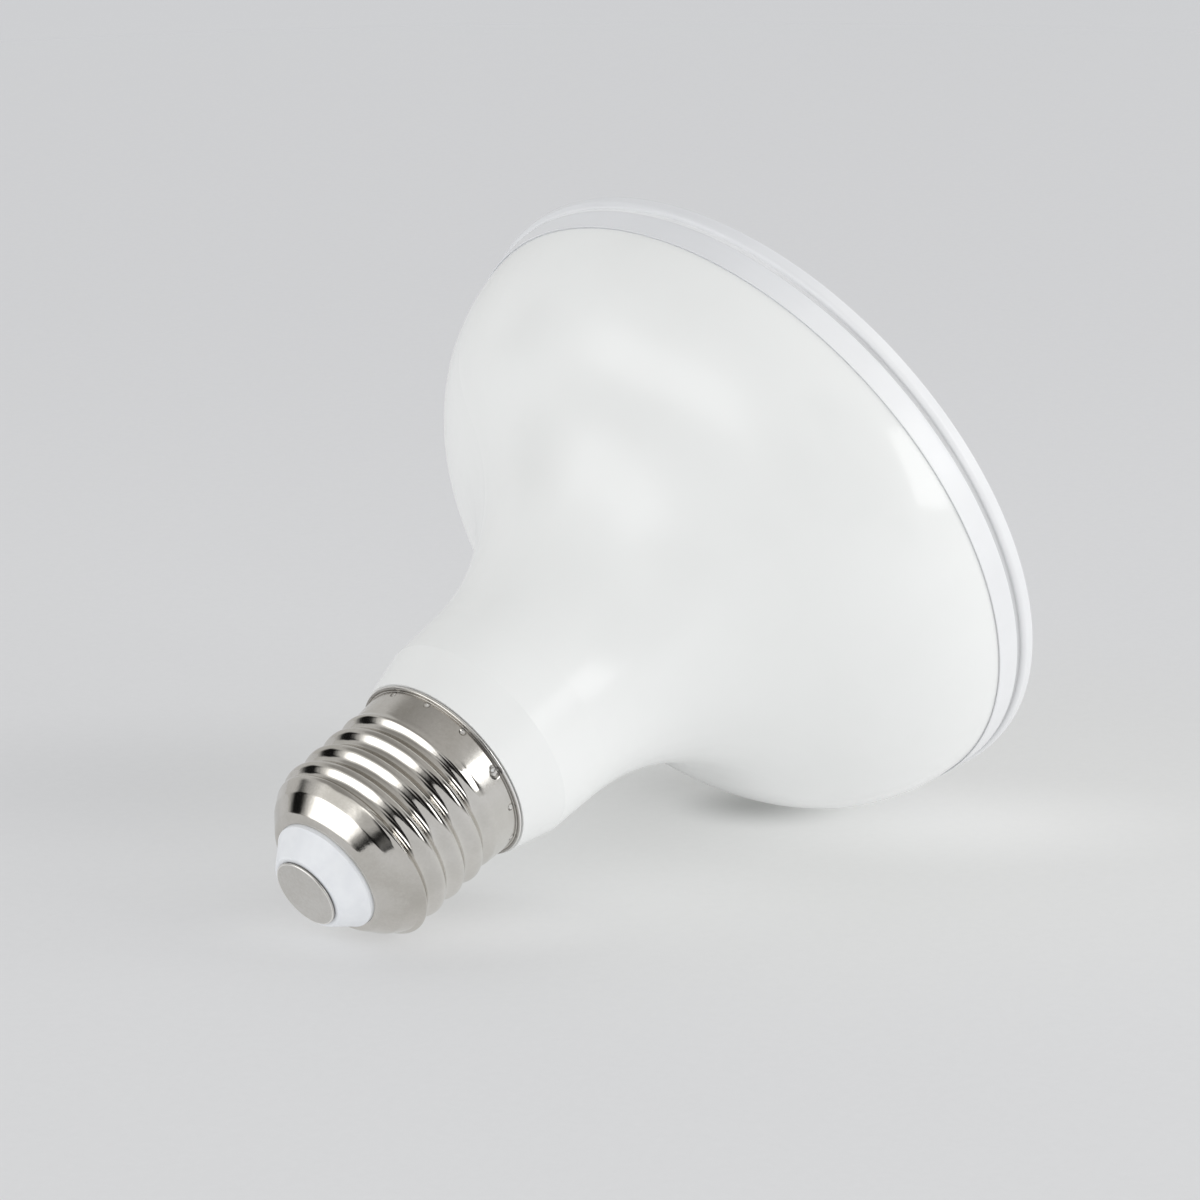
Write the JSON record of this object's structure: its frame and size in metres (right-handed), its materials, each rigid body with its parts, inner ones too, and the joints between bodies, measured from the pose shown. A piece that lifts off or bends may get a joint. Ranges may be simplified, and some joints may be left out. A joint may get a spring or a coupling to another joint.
{
  "type": "led par bulb",
  "caption": "Reflector-shaped LED lamp: a white bell housing on a metal Edison screw cap, closed by a clear front cover over a round board of light sources.",
  "frame": {"origin": "centre of the front rim, in the plane that the rim stands on", "axes": "+Z along the lamp's axis from the front rim to the cap's contact"},
  "size_m": [0.095, 0.095, 0.0931],
  "materials": {
    "cap_nickel": "nickel-plated rolled sheet",
    "cap_white": "white moulded insulator",
    "contact_metal": "dull tinned metal",
    "housing_white": "satin white moulding",
    "clear_cover": "clear moulding",
    "spreader_aluminium": "pressed sheet",
    "board_white": "white solder mask on a metal core",
    "led_amber": "phosphor face",
    "screw_steel": "zinc-plated",
    "connector_white": "moulded",
    "wire_red": "insulated wire",
    "wire_black": "insulated wire",
    "board_green": "solder mask",
    "ferrite_grey": "sintered ferrite",
    "winding_copper": "enamelled wire",
    "capacitor_black": "sleeved can",
    "capacitor_red": "dipped case",
    "resistor_blue": "lacquered",
    "chip_black": "moulded package"
  },
  "bodies": {
    "root": {"screw_shell": "cap_nickel", "cap_insulator": "cap_white", "centre_contact": "contact_metal", "housing": "housing_white", "front_cover": "clear_cover", "heat_spreader": "spreader_aluminium", "led_board": "board_white", "led_chips": "led_amber", "board_screws": "screw_steel", "lead_connector": "connector_white", "positive_lead": "wire_red", "negative_lead": "wire_black", "driver_board": "board_green", "inductor_core": "ferrite_grey", "inductor_winding": "winding_copper", "output_capacitor": "capacitor_black", "bulk_capacitor": "capacitor_black", "film_capacitor": "capacitor_red", "fuse_resistor": "resistor_blue", "flyback_diode": "chip_black", "driver_chip": "chip_black", "bridge_rectifier": "chip_black", "live_wire": "wire_red", "neutral_wire": "wire_black"}
  },
  "joints": []
}
